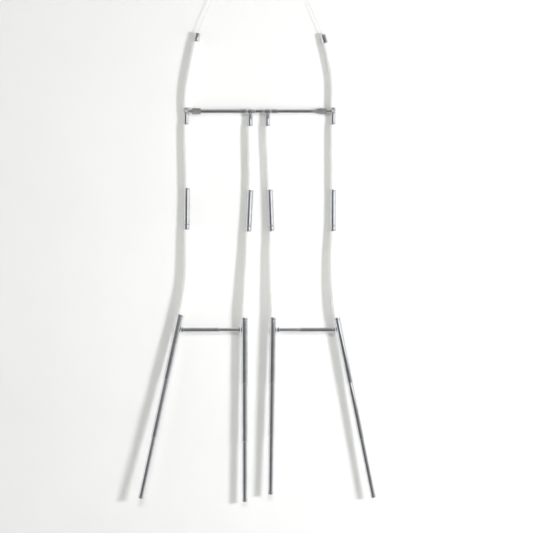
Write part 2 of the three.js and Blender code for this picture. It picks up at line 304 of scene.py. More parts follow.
# ---- Threads, first because their length is held to the frame's ------------------------------
HOOKS = {side: Vector((x, 0, 0)) for side, x in (("left", -0.1135), ("right", 0.1135))}
CAP_AXES = {
    "left": Vector((-0.1543 + 0.1584, 0, 0.196 - 0.174)).normalized(),
    "right": Vector((0.1594 - 0.1658, 0, 0.192 - 0.1705)).normalized(),
}


def plies(name, centreline, offset, ply_r, closed=False):
    """Two round plies twisted about the centreline, as one object."""
    length = curve_length(centreline)
    turns = max(1, round(length / (PLY_TWIST * MM)))
    count = turns * 10
    distances = [length * k / count for k in range(count if closed else count + 1)]
    places = frames_along(centreline, distances)
    parts = []
    for start in (0, math.pi):
        line = []
        for k, (centre, across, up) in enumerate(places):
            turn = start + 2 * math.pi * turns * k / count
            line.append(centre + (across * math.cos(turn) + up * math.sin(turn)) * offset * MM)
        parts.append(cord_skin(f"{name}_ply", line, ply_r, closed))
    return joined(name, parts)


def cord_skin(name, line, radius, closed=False, sides=8):
    """A plain round strand along a line of points, with rounded ends unless it closes on itself."""
    lap = [*line, line[0]] if closed else line
    runs = [float(x) for x in np.cumsum([0] + [(q - p).length for p, q in zip(lap, lap[1:])])]
    if closed:
        runs.pop()
    rings = []
    across = None
    for k, point in enumerate(line):
        before = line[k - 1] if closed or k else point
        after = line[(k + 1) % len(line)] if closed or k < len(line) - 1 else point
        tangent = (after - before).normalized()
        if across is None:
            across = tangent.orthogonal()
        across = (across - tangent * across.dot(tangent)).normalized()
        rings.append((point, across.copy(), tangent.cross(across), radius * MM, runs[k]))
    if not closed:
        first, last = rings[0], rings[-1]
        rings.insert(0, (*first[:3], 0, first[4]))
        rings.append((*last[:3], 0, last[4]))
    return skin(name, rings, sides, closed)


def joined(name, parts):
    """Several meshes as one object."""
    mesh = bmesh.new()
    for part in parts:
        mesh.from_mesh(part.data)
        old = part.data
        bpy.data.objects.remove(part)
        bpy.data.meshes.remove(old)
    return as_object(name, mesh)


def add_thread(side):
    _, cap_top = axis_ends(f"{side}_brace_cap", CAP_AXES[side])
    hook = HOOKS[side]
    along = (hook - cap_top).normalized()
    loop_centre = hook + along * (THREAD_R - LOOP_R) * MM
    knot_foot = loop_centre - along * (LOOP_R + KNOT_DROP + KNOT_HALF) * MM
    line = smooth_curve([
        cap_top + CAP_AXES[side] * (0.5 - THREAD_HOLE) * MM,
        cap_top + CAP_AXES[side] * MM,
        cap_top.lerp(knot_foot, 0.5),
        knot_foot - along * GAP * MM,
    ])
    offset = THREAD_R - PLY_R
    thread = plies(f"{side}_hanging_thread", line, offset, PLY_R)

    # The tied loop: a ring of thread above a knot of close turns, with its cut end.
    across = Y.cross(along).normalized()
    around = []
    for k in range(LOOP_STEPS):
        turn = 2 * math.pi * k / LOOP_STEPS
        outwards = across * math.sin(turn) + along * math.cos(turn)
        around.append(loop_centre + outwards * LOOP_R * MM)
    ring = plies(f"{side}_loop_ring", around, offset, PLY_R, closed=True)
    knot_middle = loop_centre - along * (LOOP_R + KNOT_DROP) * MM
    steps = KNOT_TURNS * KNOT_STEPS
    winding = []
    for k in range(steps + 1):
        turn = 2 * math.pi * k / KNOT_STEPS
        height = (k / steps - 0.5) * 2 * (KNOT_HALF - THREAD_R)
        reach = (KNOT_R - 0.5 * abs(2 * k / steps - 1) ** 4) * MM  # narrower at both ends
        winding.append(
            knot_middle + along * height * MM
            + (across * math.cos(turn) + Y * math.sin(turn)) * reach
        )
    wound = plies(f"{side}_knot_winding", winding, offset, PLY_R)
    core = cord_skin(
        f"{side}_knot_core",
        [knot_middle + along * h * MM for h in (-KNOT_HALF, -1, 1, KNOT_HALF - 1)], THREAD_R,
    )
    drooping = [
        knot_middle + across * (1.2 + k) * MM - along * (0.4 + 0.12 * k * k) * MM for k in range(5)
    ]
    tail = cord_skin(f"{side}_knot_tail", drooping, TAIL_R)
    loop = joined(f"{side}_hanging_loop", [ring, wound, core, tail])
    for obj, node in ((thread, f"{side}_thread"), (loop, f"{side}_thread_loop")):
        finish_piece(obj, "crossbar", "thread", node)


# ---- Materials -------------------------------------------------------------------------------
def new_material(name, **settings):
    material = bpy.data.materials.new(name)
    material.use_nodes = True
    shader = material.node_tree.nodes["Principled BSDF"]
    for socket, value in settings.items():
        shader.inputs[socket.replace("_", " ")].default_value = value
    return material, material.node_tree, shader


def add_node(tree, kind, inputs=None, **properties):
    node = tree.nodes.new(kind)
    for key, value in properties.items():
        setattr(node, key, value)
    for socket, value in (inputs or {}).items():
        if isinstance(value, bpy.types.NodeSocket):
            tree.links.new(value, node.inputs[socket])
        else:
            node.inputs[socket].default_value = value
    return node


def noise(tree, scale, detail, stretch=(1, 1, 1), uv=False):
    """Noise in the object's own space, or along the surface's length and girth, both in metres."""
    place = add_node(tree, "ShaderNodeTexCoord").outputs["UV" if uv else "Object"]
    mapping = add_node(tree, "ShaderNodeMapping", {"Vector": place, "Scale": stretch})
    texture = add_node(
        tree, "ShaderNodeTexNoise",
        {"Vector": mapping.outputs["Vector"], "Scale": scale, "Detail": detail, "Roughness": 0.6},
    )
    return texture.outputs["Fac"]


def graded(tree, factor, low, high, start=0.3, end=0.7):
    """A colour ramp between two colours, or a number between two numbers."""
    if isinstance(low, tuple):
        ramp = add_node(tree, "ShaderNodeValToRGB", {"Fac": factor})
        ramp.color_ramp.elements[0].position = start
        ramp.color_ramp.elements[0].color = (*low, 1)
        ramp.color_ramp.elements[1].position = end
        ramp.color_ramp.elements[1].color = (*high, 1)
        return ramp.outputs["Color"]
    span = add_node(
        tree, "ShaderNodeMapRange",
        {"Value": factor, "From Min": start, "From Max": end, "To Min": low, "To Max": high},
    )
    return span.outputs["Result"]


def vary(tree, shader, socket, *grading):
    """Feeds the shader's socket with graded(tree, *grading)."""
    tree.links.new(graded(tree, *grading), shader.inputs[socket])


def bump(tree, shader, layers):
    """Stacks bump layers, each (height, strength, distance in metres)."""
    normal = None
    for height, strength, distance in layers:
        inputs = {"Height": height, "Strength": strength, "Distance": distance}
        if normal:
            inputs["Normal"] = normal
        normal = add_node(tree, "ShaderNodeBump", inputs).outputs["Normal"]
    tree.links.new(normal, shader.inputs["Normal"])


def chrome_material(name, dark, light, smooth, worn):
    """Plated steel: faint smudges, hairlines along the tube and finer ones round it."""
    material, tree, shader = new_material(name, Metallic=1.0)
    smudge = noise(tree, 55, 5)
    along = noise(tree, 1, 3, (2600, 26, 1), uv=True)
    round_it = noise(tree, 1, 2, (40, 5200, 1), uv=True)
    vary(tree, shader, "Base Color", smudge, dark, light)
    hair = add_node(tree, "ShaderNodeMath", {0: along, 1: smudge}, operation="MULTIPLY").outputs[0]
    vary(tree, shader, "Roughness", hair, smooth, worn, 0.16, 0.5)
    bump(tree, shader, [(along, 0.12, 0.00002), (round_it, 0.08, 0.00002)])
    return material


def grip_material():
    """The dulled steel of a knurled collar, with a dark base colour that varies in random patches.
    """
    material, tree, shader = new_material("dull_grip", Metallic=0.35, Specular_IOR_Level=0.12)
    smudge = noise(tree, 60, 5)
    round_it = noise(tree, 1, 3, (30, 3800, 1), uv=True)
    vary(tree, shader, "Base Color", smudge, (0.25, 0.25, 0.25), (0.36, 0.36, 0.358))
    vary(tree, shader, "Roughness", smudge, 0.46, 0.6)
    bump(tree, shader, [(round_it, 0.3, 0.00006)])
    return material


def hose_material():
    """Soft white plastic hose: fine draw lines along it, a satin skin and a little handling dust.

    Its faint emission is a painted glow, standing in for the light that comes through a real hose's
    white wall.
    """
    material, tree, shader = new_material(
        "white_hose", Subsurface_Weight=0.15, Subsurface_Scale=0.004, Specular_IOR_Level=0.42,
        # the emission is a painted glow that lifts the hose's shaded side
        Subsurface_Radius=(1.0, 1.0, 1.0), Emission_Color=(1, 1, 0.99, 1), Emission_Strength=0.11,
        Coat_Weight=0.12, Coat_Roughness=0.35,
    )
    patches = noise(tree, 34, 6)
    lines = noise(tree, 1, 4, (1500, 9, 1), uv=True)
    grain = noise(tree, 2400, 3)
    vary(tree, shader, "Base Color", patches, (0.82, 0.82, 0.805), (0.89, 0.89, 0.885))
    vary(tree, shader, "Roughness", patches, 0.42, 0.54)
    bump(tree, shader, [(lines, 0.25, 0.00008), (grain, 0.15, 0.00004), (patches, 0.2, 0.0004)])
    return material


def thread_material():
    """White twisted thread: fine fibres along each ply."""
    material, tree, shader = new_material("white_thread", Specular_IOR_Level=0.3, Sheen_Weight=0.25)
    fibres = noise(tree, 1, 4, (9000, 500, 1), uv=True)
    vary(tree, shader, "Base Color", fibres, (0.82, 0.82, 0.8), (0.95, 0.95, 0.94))
    vary(tree, shader, "Roughness", fibres, 0.62, 0.8)
    bump(tree, shader, [(fibres, 0.5, 0.00006)])
    return material


MATERIALS = {
    "chrome": chrome_material(
        "polished_chrome", (0.70, 0.71, 0.73), (0.80, 0.81, 0.83), 0.05, 0.13,
    ),
    # The ring chrome is rougher than the tubes. Its lighter base colour is a painted highlight on
    # the beads, rung collars and washers.
    "bright_ring": chrome_material(
        "bright_ring", (0.86, 0.86, 0.87), (0.94, 0.94, 0.95), 0.24, 0.4,
    ),
    "dull_grip": grip_material(),
    "hose": hose_material(),
    "thread": thread_material(),
}


def finish_piece(obj, body, slot, *nodes):
    """Gives a piece its finish, its body and the nodes that it stands for."""
    obj.data.materials.clear()
    obj.data.materials.append(MATERIALS[slot])
    # Chrome pieces take the ring chrome as material 1. Its lighter colour is a painted highlight.
    if slot == "chrome":
        obj.data.materials.append(MATERIALS["bright_ring"])
    if body:
        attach(obj, body)
    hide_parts(*nodes)
    return obj


for side_name in SIDE_NAMES:
    add_thread(side_name)


# ---- The crossbar ----------------------------------------------------------------------------
KNURL_DEPTH = 0.28
KNURL_PITCH = 1.7
KNURL_MARGIN = 2.2
KNURL_SIDES = 144


def bar_piece(node, outline, slot="chrome", name=None, **options):
    """A piece turned about the bar's axis, from its low-X end. outline takes the length."""
    low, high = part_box(node)
    middle = (low + high) / 2
    start = Vector((low.x, middle.y, middle.z))
    length = (high.x - low.x) / MM
    obj = turned(name or node + "_turned", outline(length), start, X, **options)
    return finish_piece(obj, "crossbar", slot, node)


def plain_ring(radius):
    def outline(length):
        return [(CORE_BORE_R, 0), (radius, 0), (radius, length), (CORE_BORE_R, length)]
    return outline


def grooved_ring(radius, grooves, depth=0.5, width=1.0):
    """A collar with narrow grooves at the given shares of its length."""
    def outline(length):
        points = [(CORE_BORE_R, 0), (radius, 0)]
        for share in grooves:
            low, high = share * length - width / 2, share * length + width / 2
            points += [(radius, low), (radius - depth, low), (radius - depth, high), (radius, high)]
        return [*points, (radius, length), (CORE_BORE_R, length)]
    return outline


def knurled(radius, head_start=0, neck_r=None):
    """A gripping collar. Its head starts at head_start, after a plain neck if it has one."""
    def outline(length):
        points = [(CORE_BORE_R, 0)]
        if neck_r:
            points += [(neck_r, 0), (neck_r, head_start)]
        low, high = head_start + KNURL_MARGIN, length - KNURL_MARGIN
        points += [
            (radius, head_start), (radius, low - 0.6), (radius - 0.35, low - 0.3), (radius, low),
        ]
        rows = round((high - low) / (KNURL_PITCH / 4))
        points += [(radius, low + (high - low) * k / rows) for k in range(1, rows)]
        points += [(radius, high), (radius - 0.35, high + 0.3), (radius, high + 0.6)]
        return [*points, (radius, length), (CORE_BORE_R, length)]
    return outline


def knurl_relief(radius, low, high):
    """Two crossing sets of slanted cuts between low and high, from the collar's end."""
    count = round(2 * math.pi * radius / KNURL_PITCH)

    def relief(turn, length):
        height = length / MM
        inside = smoothstep((height - low) / 0.6) * smoothstep((high - height) / 0.6)
        if inside == 0:
            return 0
        rise = 2 * math.pi * height / KNURL_PITCH
        one, other = (abs(math.sin((count * turn + lean) / 2)) for lean in (rise, -rise))
        return (one * other - 1) * KNURL_DEPTH * inside * MM
    return relief


def add_bar():
    def core(length):
        return [(0, 0), (CORE_R, 0), (CORE_R, length), (0, length)]

    bar_piece("bar_core_rod", core, name="core_rod", edge=0.8)
    bar_piece("bar_tube_left", plain_ring(6), edge=0.5)
    bar_piece("bar_tube_centre", plain_ring(5.4), edge=0.5)
    bar_piece("bar_tube_right", plain_ring(5.4), edge=0.5)
    bar_piece("bar_collar_left_inner", grooved_ring(6.9, (0.2, 0.8), 0.35, 0.7))
    bar_piece("bar_collar_right_inner", grooved_ring(6.4, (0.2, 0.8), 0.35, 0.7))
    for node, radius, head_start, neck_r in (
        ("bar_collar_left_outer", 7.7, 0, None),
        ("bar_collar_right_outer", 7.6, 8, 6),
    ):
        low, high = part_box(node)
        length = (high.x - low.x) / MM
        relief = knurl_relief(radius, head_start + KNURL_MARGIN, length - KNURL_MARGIN)
        outline = knurled(radius, head_start, neck_r)
        collar = bar_piece(node, outline, sides=KNURL_SIDES, relief=relief, edge=0.5)
        collar.data.materials[0] = MATERIALS["dull_grip"]
    for i in range(4):
        # the washers take the ring chrome, with its painted highlight
        bar_piece(f"tee_washer_{i + 1}", plain_ring(6.6), "bright_ring", edge=0.8)


# ---- The fittings ----------------------------------------------------------------------------
def combined(name, base, others, operation):
    """base with the others joined to it or cut from it."""
    for other in others:
        modifier = base.modifiers.new("combine", "BOOLEAN")
        modifier.object = other
        modifier.operation = operation
        modifier.solver = "EXACT"
    bpy.context.view_layer.update()
    evaluated = base.evaluated_get(bpy.context.evaluated_depsgraph_get())
    data = bpy.data.meshes.new_from_object(evaluated)
    for used in (base, *others):
        old = used.data
        bpy.data.objects.remove(used)
        bpy.data.meshes.remove(old)
    data.name = name
    data.shade_smooth()
    data.set_sharp_from_angle(angle=math.radians(40))
    obj = bpy.data.objects.new(name, data)
    bpy.context.scene.collection.objects.link(obj)
    return obj


def stem_x(strand):
    """Where the strand's fitting stands across the object."""
    low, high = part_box(f"{strand}_{'end_fitting' if strand.endswith('outer') else 'tee'}")
    if strand == "left_outer":
        return low.x + FITTING_R * MM
    if strand == "right_outer":
        return high.x - FITTING_R * MM
    return (low.x + high.x) / 2


def add_tee(strand):
    node = f"{strand}_tee"
    low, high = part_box(node)
    x = stem_x(strand)
    half = (high.x - low.x) / 2 / MM
    centre = Vector((x, 0, BAR.z))
    bottom = (BAR.z - low.z) / MM - SPIGOT
    barrel = turned("barrel", [
        (0, 0), (BARREL_LIP_R, 0), (BARREL_LIP_R, 0.8), (BARREL_R, 0.8), (BARREL_R, 2 * half - 0.8),
        (BARREL_LIP_R, 2 * half - 0.8), (BARREL_LIP_R, 2 * half), (0, 2 * half),
    ], centre - X * half * MM, X, edge=0.5)
    stem = turned("stem", [
        (0, 1), (5.2, 1), (5.2, 5), (5.6, 7), (TEE_R, 8.2), (TEE_R, bottom - 4),
        (TEE_R - 0.5, bottom - 3.4), (TEE_R, bottom - 2.8), (TEE_R, bottom), (SPIGOT_R, bottom),
        (SPIGOT_R, bottom + SPIGOT),
        (0, bottom + SPIGOT),
    ], centre, -Z, edge=0.6)
    bore = turned("bore", [(0, 0), (CORE_BORE_R, 0), (CORE_BORE_R, 4 * half), (0, 4 * half)],
                  centre - X * 2 * half * MM, X, edge=0)
    body = combined(f"{strand}_tee_whole", barrel, [stem], "UNION")
    body = combined(f"{strand}_tee_fitting", body, [bore], "DIFFERENCE")
    finish_piece(body, "crossbar", "chrome", node)


def hexagon(name, across_flats, depth, front):
    """A prism for a socket, from front into +Y."""
    mesh = bmesh.new()
    reach = across_flats / math.sqrt(3) * MM
    made = bmesh.ops.create_cone(
        mesh, segments=6, radius1=reach, radius2=reach, depth=depth * MM, cap_ends=True,
    )
    for vertex in made["verts"]:
        x, y, z = vertex.co
        vertex.co = front + Vector((x, z + depth / 2 * MM, y))
    bmesh.ops.recalc_face_normals(mesh, faces=mesh.faces)
    return as_object(name, mesh)


def add_end_fitting(strand):
    node = f"{strand}_end_fitting"
    low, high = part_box(node)
    side = -1 if strand.startswith("left") else 1
    x = stem_x(strand)
    top = (high.z - BAR.z) / MM
    bottom = (BAR.z - low.z) / MM
    cap_foot = top - SPIGOT - 6
    centre = Vector((x, 0, BAR.z))
    upright = turned("upright", [
        (0, -top), (SPIGOT_R, -top), (SPIGOT_R, SPIGOT - top), (FITTING_R + 0.35, SPIGOT - top),
        (FITTING_R + 0.35, -cap_foot), (FITTING_R, 0.5 - cap_foot),
        (FITTING_R, bottom - SPIGOT - 4), (FITTING_R - 0.5, bottom - SPIGOT - 3.4),
        (FITTING_R, bottom - SPIGOT - 2.8),
        (FITTING_R, bottom - SPIGOT), (SPIGOT_R, bottom - SPIGOT), (SPIGOT_R, bottom), (0, bottom),
    ], centre, -Z, edge=0.6)
    near = high.x if side < 0 else low.x
    reach = abs(x - near) / MM
    neck = turned("neck", [
        (0, 0), (5.2, 0), (5.2, 1.2), (NECK_R, 1.9), (NECK_R, 4.2), (5.0, 4.9), (5.0, 6.2),
        (NECK_R, 7), (NECK_R, reach), (0, reach),
    ], Vector((near, 0, BAR.z)), X * side, edge=0.4)
    eye = turned("eye", [
        (0, 0), (4.6, 0), (5.5, 0.3), (EYE_R, 1.4), (EYE_R, 2 * EYE_HALF - 1.2),
        (5.4, 2 * EYE_HALF), (0, 2 * EYE_HALF),
    ], centre - Y * EYE_HALF * MM, Y, edge=0.5)
    core_end = CORE_HIGH.x / MM + 0.5
    bore = turned("bore", [(0, 0), (CORE_BORE_R, 0), (CORE_BORE_R, core_end), (0, core_end)],
                  Vector((0, 0, BAR.z)), X * side, edge=0)
    socket = hexagon("socket", 5, 3.2, centre - Y * (EYE_HALF + 0.2) * MM)
    body = combined("joined", upright, [neck, eye], "UNION")
    body = combined(f"{strand}_fitting", body, [bore, socket], "DIFFERENCE")
    finish_piece(body, "crossbar", "chrome", node)


# ---- The strands -----------------------------------------------------------------------------
SLEEVE = 91
SLEEVE_R = 7.9
SLEEVE_BORE_R = 6.95
SLEEVE_TUBE_R = 6.55
SLEEVE_TUBE_BORE_R = 5.9
SLEEVE_TIP = 12.5
UPPER_R = 8.5
UPPER_BORE_R = 7.95
MIDDLE_R = 7.6
MIDDLE_BORE_R = 7.05
LOWER_R = 6.7
LOWER_BORE_R = 6.1
FOOT_R = 7.3
FOOT_PLUG = 10
FOOT_PLUG_R = 5.7
END_WALL = 8


def tube_end(radius, length):
    """The rolled bead at a tube's mouth, up to the mouth itself."""
    full = radius + BEAD_STEP
    return [
        (radius, length - BEAD - 0.9), (radius - 0.25, length - BEAD - 0.5),
        (radius, length - BEAD - 0.1), (full, length - BEAD + 0.2), (full, length - 0.3),
        (full - 0.4, length),
    ]


def add_sleeve(strand):
    down = joint_axis(f"{strand}_sleeve_slide")
    node = f"{strand}_sleeve_outer"
    top, foot = axis_ends(node, down)
    length = (foot - top).length / MM
    outer = turned(f"{strand}_sleeve_tube", [
        (0, 0), (SPIGOT_R, 0), (SPIGOT_R, SPIGOT), (SLEEVE_R + 0.3, SPIGOT),
        (SLEEVE_R + 0.3, SPIGOT + 3), (SLEEVE_R - 0.2, SPIGOT + 3.5), (SLEEVE_R, SPIGOT + 4),
        *tube_end(SLEEVE_R, length),
        (SLEEVE_BORE_R, length), (SLEEVE_BORE_R, SPIGOT + COLLAR), (0, SPIGOT + COLLAR),
    ], top, down, bands=[(length - BEAD, length)])
    finish_piece(outer, f"{strand}_thigh", "chrome", node)

    node = f"{strand}_sleeve_inner"
    top, foot = axis_ends(node, down)
    length = (foot - top).length / MM
    shoulder = length - SPIGOT - SLEEVE_TIP + GAP
    tip = length - SPIGOT
    wall = shoulder - GAP - COLLAR
    inner = turned(f"{strand}_sleeve_slider", [
        (0, wall), (SLEEVE_TUBE_BORE_R, wall), (SLEEVE_TUBE_BORE_R, 0), (SLEEVE_TUBE_R, 0),
        (SLEEVE_TUBE_R, shoulder), (SLEEVE_R, shoulder), (SLEEVE_R, tip - 3.6),
        (SLEEVE_R - 0.3, tip - 3.1), (SLEEVE_R + 0.25, tip - 2.6), (SLEEVE_R + 0.25, tip),
        (SPIGOT_R, tip), (SPIGOT_R, length), (0, length),
    ], top, down)
    finish_piece(inner, f"{strand}_knee", "chrome", node)


def add_shin(strand):
    down = joint_axis(f"{strand}_middle_slide")
    node = f"{strand}_shin_upper"
    top, foot = axis_ends(node, down)
    length = (foot - top).length / MM
    collar = SPIGOT + COLLAR
    upper = turned(f"{strand}_shin_upper_tube", [
        (0, 0), (SPIGOT_R, 0), (SPIGOT_R, SPIGOT), (UPPER_R + BEAD_STEP, SPIGOT),
        (UPPER_R + BEAD_STEP, collar - 0.8), (UPPER_R - 0.2, collar), (UPPER_R, collar + 0.6),
        *tube_end(UPPER_R, length),
        (UPPER_BORE_R, length), (UPPER_BORE_R, SPIGOT + END_WALL), (0, SPIGOT + END_WALL),
    ], top, down, bands=[(length - BEAD, length)])
    finish_piece(upper, f"{strand}_shin", "chrome", node)

    node = f"{strand}_shin_middle"
    top, foot = axis_ends(node, down)
    length = (foot - top).length / MM
    middle = turned(f"{strand}_shin_middle_tube", [
        (MIDDLE_BORE_R, 0), (MIDDLE_R, 0), *tube_end(MIDDLE_R, length), (MIDDLE_BORE_R, length),
    ], top, down, bands=[(length - BEAD, length)])
    finish_piece(middle, f"{strand}_shin_mid", "chrome", node)

    node = f"{strand}_shin_lower"
    top, foot = axis_ends(node, down)
    length = (foot - top).length / MM
    lower = turned(f"{strand}_shin_lower_tube", [
        (LOWER_BORE_R, 0), (LOWER_R, 0), (LOWER_R, length), (LOWER_BORE_R, length),
    ], top, down)
    finish_piece(lower, f"{strand}_foot", "chrome", node)

    node = f"{strand}_foot_cap"
    top, foot = axis_ends(node, down)
    length = (foot - top).length / MM
    cap = turned(f"{strand}_foot_ferrule", [
        (0, 0), (FOOT_PLUG_R, 0), (FOOT_PLUG_R, FOOT_PLUG), (FOOT_R, FOOT_PLUG),
        (FOOT_R, FOOT_PLUG + 1.6), (FOOT_R - 0.4, FOOT_PLUG + 2), (FOOT_R, FOOT_PLUG + 2.4),
        (FOOT_R, length - 1.6),
        (FOOT_R - 1.6, length), (3, length), (2.6, length - 0.4), (0, length - 0.4),
    ], top, down, edge=0.6)
    finish_piece(cap, f"{strand}_foot", "chrome", node)


# ---- The rungs -------------------------------------------------------------------------------
RUNG_TUBE_R = 5.8
RUNG_BORE_R = 5.1
RUNG_ROD_R = 4.6
RUNG_COLLAR = 5
RUNG_COLLAR_R = 6.9
RUNG_NECK = 1.6
RUNG_NECK_R = 3.2


def add_rung(side):
    outwards = X * (-1 if side == "left" else 1)
    mouth, tip = axis_ends(f"{side}_rung_tube", outwards)
    length = (tip - mouth).length / MM
    collar = length - RUNG_NECK - RUNG_COLLAR
    tube = turned(f"{side}_rung_outer_tube", [
        (0, collar), (RUNG_BORE_R, collar), (RUNG_BORE_R, 0), (RUNG_TUBE_R, 0),
        (RUNG_TUBE_R + BEAD_STEP, 0.3), (RUNG_TUBE_R + BEAD_STEP, BEAD - 0.3), (RUNG_TUBE_R, BEAD),
        (RUNG_TUBE_R, collar), (RUNG_COLLAR_R, collar + 0.2), (RUNG_COLLAR_R, collar + RUNG_COLLAR),
        (RUNG_NECK_R, collar + RUNG_COLLAR), (RUNG_NECK_R, length), (0, length),
    ], mouth, outwards, bands=[(0, BEAD)])
    finish_piece(tube, f"{side}_outer_shin", "chrome", f"{side}_rung_tube")

    neck, inside = axis_ends(f"{side}_rung_rod", outwards)
    length = (inside - neck).length / MM
    collar = RUNG_NECK + RUNG_COLLAR
    slider = turned(f"{side}_rung_slider", [
        (0, 0), (RUNG_NECK_R, 0), (RUNG_NECK_R, RUNG_NECK), (RUNG_COLLAR_R, RUNG_NECK),
        (RUNG_COLLAR_R, collar), (RUNG_ROD_R, collar + 0.2), (RUNG_ROD_R, length), (0, length),
    ], neck, outwards, bands=[(RUNG_NECK, collar)])
    finish_piece(slider, f"{side}_inner_shin", "chrome", f"{side}_rung_rod")


# ---- Hoses -----------------------------------------------------------------------------------
HOSE_MOUTH = [0, 0.15, 0.4, HOSE_EDGE]  # distances from an end at which its rounding is drawn


def hose_skin(name, places, stations, total):
    """The skin of a hose, outside and in, from its places at the stations, in millimetres."""
    outside = []
    for distance, (centre, across, up) in zip(stations, places):
        from_end = min(distance, total - distance)
        inset = max(0, 1 - from_end / HOSE_EDGE)
        radius = HOSE_R - HOSE_EDGE * (1 - math.sqrt(1 - inset * inset)) * 0.8
        radius += HOSE_SWELL * smoothstep((SPIGOT + 4 - from_end) / 6)
        outside.append((centre, across, up, radius * MM, distance * MM))
    inside = [
        (centre, across, up, HOSE_BORE_R * MM, 2 * total * MM - distance)
        for centre, across, up, _, distance in reversed(outside)
    ]
    return skin(name, [*outside, *inside], HOSE_SIDES, wrap=True)


def swept_hose(name, route):
    """An open hose along the route: rounded mouths, stretched where it sits on its spigots."""
    line = smooth_curve(route)
    total = curve_length(line) / MM
    count = round((total - 2 * HOSE_EDGE) / HOSE_STEP)
    middle = [HOSE_EDGE + (total - 2 * HOSE_EDGE) * k / count for k in range(1, count)]
    stations = [*HOSE_MOUTH, *middle, *(total - d for d in reversed(HOSE_MOUTH))]
    return hose_skin(name, frames_along(line, [d * MM for d in stations]), stations, total)


def swept_part(name, line, first, last):
    """Part of a hose that is one piece in life but follows two joints: its cut end is plain."""
    total = curve_length(line) / MM
    begin = curve_length(line[:first + 1]) / MM
    finish = curve_length(line[:last + 1]) / MM
    count = max(2, round((finish - begin) / HOSE_STEP))
    stations = [begin + (finish - begin) * k / count for k in range(count + 1)]
    if first == 0:
        stations = [*HOSE_MOUTH, *stations[1:]]
    if last == len(line) - 1:
        stations = [*stations[:-1], *(total - d for d in reversed(HOSE_MOUTH))]
    # Both parts start from the hose's top, so that their rings meet without a twist.
    places = frames_along(line, [0, *(d * MM for d in stations)])[1:]
    return hose_skin(name, places, stations, total)


def sleeve_ends(strand):
    """The sleeve's top face and the face of its slider that the knee hose meets."""
    down = joint_axis(f"{strand}_sleeve_slide")
    top, _ = axis_ends(f"{strand}_sleeve_outer", down)
    _, foot = axis_ends(f"{strand}_sleeve_inner", down)
    return top + down * SPIGOT * MM, foot - down * SPIGOT * MM, down


# Where the thigh and knee hoses bend, in metres.
THIGH_SPLIT_Z = BAR.z - 0.113  # an outer thigh hose is parted here between its two motions


def add_thigh_hose(strand):
    outer = strand.endswith("outer")
    fitting = f"{strand}_{'end_fitting' if outer else 'tee'}"
    low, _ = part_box(fitting)
    top, _, down = sleeve_ends(strand)
    x = stem_x(strand)
    start = Vector((x, 0, low.z + (SPIGOT - GAP) * MM))
    end = top - down * GAP * MM
    route = [start, start - Z * HOSE_LEAD * MM, end - down * HOSE_LEAD * MM, end]
    node = f"{strand}_thigh_hose"
    if not outer:
        hose = swept_hose(f"{strand}_upper_hose", route)
        finish_piece(hose, None, "hose", node)
        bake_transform(hose)
        return
    line = smooth_curve(route)
    split = next(k for k, point in enumerate(line) if point.z < THIGH_SPLIT_Z)
    upper = swept_part(f"{strand}_upper_hose", line, 0, split)
    finish_piece(upper, None, "hose", node)
    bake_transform(upper)
    lower = swept_part(f"{strand}_upper_hose_foot", line, split, len(line) - 1)
    finish_piece(lower, None, "hose", node)
    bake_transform(lower)


# The lower hoses' routes between their straight ends, in metres from the crossbar's middle.
KNEE_BENDS = {
    "left_outer": [
        (-0.1815, -0.0036, -0.355), (-0.182, -0.0054, -0.408), (-0.1863, -0.0072, -0.450),
    ],
    "left_inner": [
        (-0.0293, -0.0036, -0.358), (-0.033, -0.0054, -0.415), (-0.0352, -0.0072, -0.462),
    ],
    "right_inner": [
        (0.0296, -0.0037, -0.358), (0.0307, -0.0058, -0.415), (0.0324, -0.0083, -0.462),
    ],
    "right_outer": [
        (0.1824, -0.0037, -0.358), (0.183, -0.0058, -0.415), (0.1866, -0.0083, -0.460),
    ],
}


def add_knee_hose(strand):
    _, foot, sleeve_down = sleeve_ends(strand)
    shin_down = joint_axis(f"{strand}_middle_slide")
    shin_top, _ = axis_ends(f"{strand}_shin_upper", shin_down)
    shin_face = shin_top + shin_down * SPIGOT * MM
    start = foot + sleeve_down * GAP * MM
    end = shin_face - shin_down * GAP * MM
    lead = start + sleeve_down * HOSE_LEAD * MM
    tail = end - shin_down * HOSE_LEAD * MM
    bends = [BAR + Vector(p) for p in KNEE_BENDS[strand]]
    hose = swept_hose(f"{strand}_lower_hose", [start, lead, *bends, tail, end])
    finish_piece(hose, None, "hose", f"{strand}_knee_hose")
    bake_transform(hose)


# The braces' routes between their straight ends, in metres from the crossbar's middle.
BRACE_ROUTES = {
    "left": [(-0.1822, -0.0005, 0.048), (-0.1792, -0.001, 0.071), (-0.1746, -0.001, 0.097),
             (-0.1693, -0.001, 0.122)],
    "right": [(0.1855, -0.0005, 0.048), (0.1856, -0.001, 0.070), (0.1829, -0.001, 0.094),
              (0.1783, -0.001, 0.119)],
}


